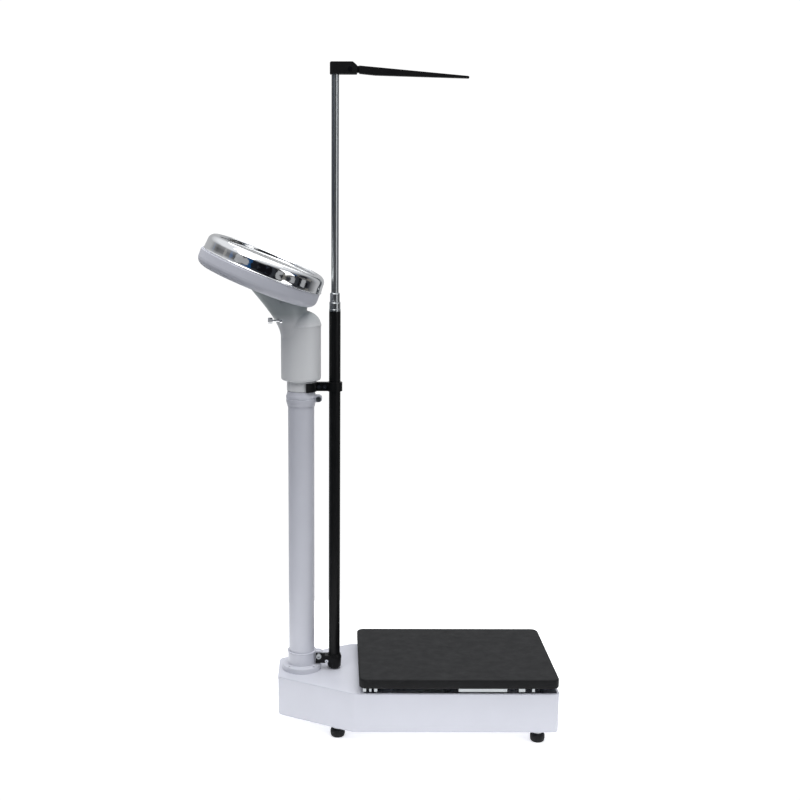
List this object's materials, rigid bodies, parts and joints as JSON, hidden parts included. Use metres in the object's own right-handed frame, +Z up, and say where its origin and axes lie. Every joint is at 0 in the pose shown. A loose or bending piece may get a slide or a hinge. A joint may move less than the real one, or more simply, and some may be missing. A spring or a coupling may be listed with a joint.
{
  "type": "dial column scale",
  "caption": "Personal weighing scale with a lever platform, a column, a tilted round dial and a telescopic height rod with a fold-down measuring arm.",
  "frame": {"origin": "on the floor, at the middle of the whole object's plan", "axes": "+X from the column to the platform, +Y across the platform, +Z up"},
  "size_m": [0.6793, 0.275, 1.266],
  "materials": {
    "white_paint": "satin powder coat",
    "grey_paint": "satin paint over a casting",
    "chrome": "polished",
    "steel": "plain rolled and ground",
    "black_metal": "satin black",
    "black_plastic": "matt moulded",
    "mat_rubber": "matt moulded",
    "foot_rubber": "moulded",
    "brass": "machined",
    "dial_white": "matt enamel",
    "glass": "clear",
    "satin_rod": "satin chrome"
  },
  "bodies": {
    "stand": {"base_housing": "white_paint", "foot_locknuts": "chrome", "long_lever_bearings": "steel", "short_lever_bearings": "steel", "bearing_screws": "chrome", "column_flange": "white_paint", "flange_screws": "chrome", "column_tube": "white_paint", "column_collar": "white_paint", "clamp_bolts": "chrome", "spring_housing": "grey_paint", "dial_neck": "grey_paint", "spring_hanger": "steel", "hanger_screws": "chrome", "weighing_springs": "chrome", "crank_bracket": "steel", "crank_pin": "chrome", "movement_frame": "brass", "movement_screws": "chrome", "dial_case": "white_paint", "case_screws": "chrome", "dial_plate": "dial_white", "dial_surround": "dial_white", "glass_gasket": "foot_rubber", "dial_glass": "glass", "dial_bezel": "chrome", "rod_bracket_lower": "black_metal", "rod_bracket_upper": "black_metal", "bracket_screws": "chrome", "outer_tube": "black_metal", "outer_ferrule": "chrome"},
    "platform": {"rubber_mat": "mat_rubber", "platform_tray": "steel", "platform_frame": "grey_paint", "platform_bearings": "chrome", "travel_stops": "chrome"},
    "long_lever": {"long_lever": "grey_paint", "long_lever_knives": "chrome", "lever_link": "chrome"},
    "short_lever": {"short_lever": "grey_paint", "short_lever_knives": "chrome"},
    "pull_rod": {"pull_rod": "steel", "rod_head_plate": "steel", "spring_yoke": "steel"},
    "bell_crank": {"bell_crank": "brass"},
    "rack": {"rack": "brass"},
    "pointer": {"pinion_shaft": "steel", "pointer": "black_metal"},
    "zero_knob": {"zero_knob": "chrome"},
    "foot_1": {"foot_1": "foot_rubber"},
    "foot_2": {"foot_2": "foot_rubber"},
    "foot_3": {"foot_3": "foot_rubber"},
    "foot_4": {"foot_4": "foot_rubber"},
    "mid_tube": {"mid_tube": "chrome", "mid_ferrule": "chrome"},
    "inner_rod": {"inner_rod": "satin_rod"},
    "head_block": {"head_block": "black_plastic", "arm_rivet": "chrome"},
    "measuring_arm": {"measuring_arm": "black_plastic"}
  },
  "joints": [
    {"name": "platform_travel", "type": "slide", "parent": "stand", "child": "platform", "axis": [0, 0, -1], "range_m": [0, 0.00156], "stiffness_N_per_m": 754000, "springref_m": -0.0003},
    {"name": "long_lever_turn", "type": "hinge", "parent": "stand", "child": "long_lever", "pos_m": [0.31267, 0, 0.072], "axis": [0, -1, 0], "range_deg": [0, 2.98]},
    {"name": "short_lever_turn", "type": "hinge", "parent": "stand", "child": "short_lever", "pos_m": [-0.01393, 0, 0.072], "axis": [0, 1, 0], "range_deg": [0, 2.98]},
    {"name": "pull_rod_travel", "type": "slide", "parent": "stand", "child": "pull_rod", "axis": [0, 0, -1], "range_m": [0, 0.024], "deforming": ["weighing_springs"]},
    {"name": "bell_crank_turn", "type": "hinge", "parent": "stand", "child": "bell_crank", "pos_m": [-0.18433, 0, 0.81761], "axis": [0, 1, 0], "range_deg": [0, 36.86]},
    {"name": "rack_travel", "type": "slide", "parent": "stand", "child": "rack", "axis": [0.9272, 0, -0.3746], "range_m": [0, 0.024]},
    {"name": "pointer_turn", "type": "hinge", "parent": "stand", "child": "pointer", "pos_m": [-0.21993, 0, 0.887], "axis": [-0.3746, 0, -0.9272], "range_deg": [0, 343.72]},
    {"name": "zero_knob_turn", "type": "hinge", "parent": "stand", "child": "zero_knob", "pos_m": [-0.19833, -0.028, 0.7955], "axis": [-1, 0, 0], "range_deg": [-360, 360]},
    {"name": "foot_1_turn", "type": "hinge", "parent": "stand", "child": "foot_1", "pos_m": [-0.07733, -0.083, 0.02], "axis": [0, 0, 1], "range_deg": [-360, 360]},
    {"name": "foot_2_turn", "type": "hinge", "parent": "stand", "child": "foot_2", "pos_m": [-0.07733, 0.083, 0.02], "axis": [0, 0, 1], "range_deg": [-360, 360]},
    {"name": "foot_3_turn", "type": "hinge", "parent": "stand", "child": "foot_3", "pos_m": [0.30367, 0.103, 0.02], "axis": [0, 0, 1], "range_deg": [-360, 360]},
    {"name": "foot_4_turn", "type": "hinge", "parent": "stand", "child": "foot_4", "pos_m": [0.30367, -0.103, 0.02], "axis": [0, 0, 1], "range_deg": [-360, 360]},
    {"name": "mid_tube_travel", "type": "slide", "parent": "stand", "child": "mid_tube", "axis": [0, 0, 1], "range_m": [0, 0.6]},
    {"name": "inner_rod_travel", "type": "slide", "parent": "mid_tube", "child": "inner_rod", "axis": [0, 0, 1], "range_m": [-0.396, 0.2]},
    {"name": "head_swivel", "type": "hinge", "parent": "inner_rod", "child": "head_block", "pos_m": [-0.08433, 0, 1.25], "axis": [0, 0, 1], "range_deg": [-90, 90]},
    {"name": "arm_fold", "type": "hinge", "parent": "head_block", "child": "measuring_arm", "pos_m": [-0.05733, 0, 1.253], "axis": [0, 1, 0], "range_deg": [0, 90]}
  ],
  "couplings": [
    {"joint": "long_lever_turn", "follows": "platform_travel", "rad_per_m": 33.333},
    {"joint": "short_lever_turn", "follows": "platform_travel", "rad_per_m": 33.333},
    {"joint": "pull_rod_travel", "follows": "platform_travel", "ratio": 15.367},
    {"joint": "bell_crank_turn", "follows": "platform_travel", "rad_per_m": 412.02},
    {"joint": "rack_travel", "follows": "platform_travel", "ratio": 15.367},
    {"joint": "pointer_turn", "follows": "platform_travel", "rad_per_m": 3841.7}
  ]
}
